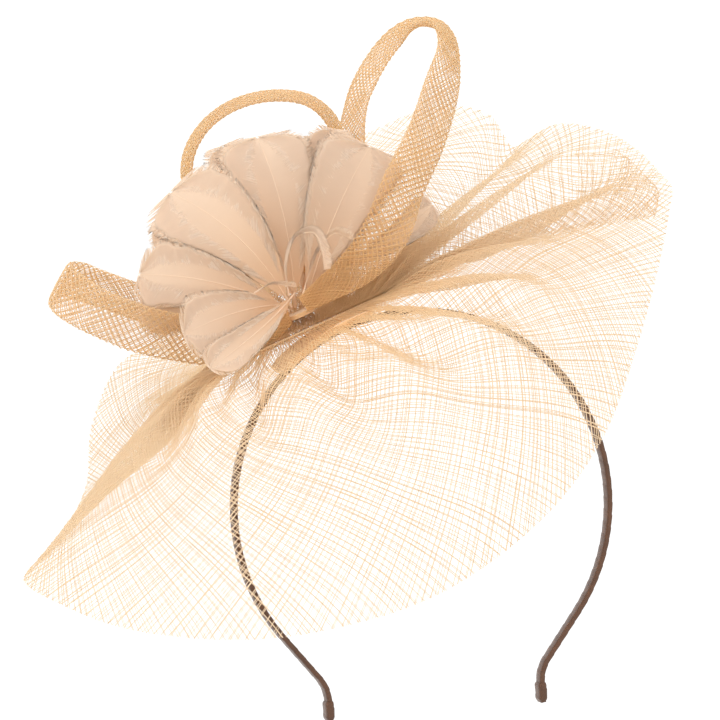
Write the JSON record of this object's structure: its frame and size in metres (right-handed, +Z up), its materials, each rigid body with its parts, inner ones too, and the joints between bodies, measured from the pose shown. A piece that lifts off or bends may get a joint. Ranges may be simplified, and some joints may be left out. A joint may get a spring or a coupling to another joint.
{
  "type": "fascinator headpiece",
  "caption": "Headband-mounted fascinator with a pleated open-weave sinamay saucer, looped bias trims and a feather flower.",
  "frame": {"origin": "centre of the headband's round arc, at the middle of the band's width", "axes": "+X to the wearer's left, +Y to the back of the head, +Z up; the headband lies in the XZ plane"},
  "size_m": [0.2442, 0.2261, 0.2561],
  "materials": {
    "sinamay": "natural open weave",
    "nude_feather": "soft matte",
    "brown_ribbon": "satin ribbon",
    "spring_steel": "bright",
    "felt": "matte",
    "thread": "matte"
  },
  "bodies": {
    "root": {"anchor_stitches": "thread", "back_hoop": "sinamay", "base_patch": "felt", "feather_back_left": "nude_feather", "feather_back_right": "nude_feather", "feather_back_top": "nude_feather", "feather_curl_large": "nude_feather", "feather_curl_right": "nude_feather", "feather_curl_small": "nude_feather", "feather_drooping": "nude_feather", "feather_far_right": "nude_feather", "feather_left": "nude_feather", "feather_low_front": "nude_feather", "feather_low_left": "nude_feather", "feather_outer_left": "nude_feather", "feather_pad": "felt", "feather_right": "nude_feather", "feather_top_centre": "nude_feather", "feather_under_left": "nude_feather", "gather_thread": "thread", "headband_ribbon_wrap": "brown_ribbon", "headband_steel_strip": "spring_steel", "left_end_wrap": "brown_ribbon", "right_end_wrap": "brown_ribbon", "side_loop": "sinamay", "sinamay_saucer": "sinamay", "tall_loop": "sinamay"}
  },
  "joints": []
}
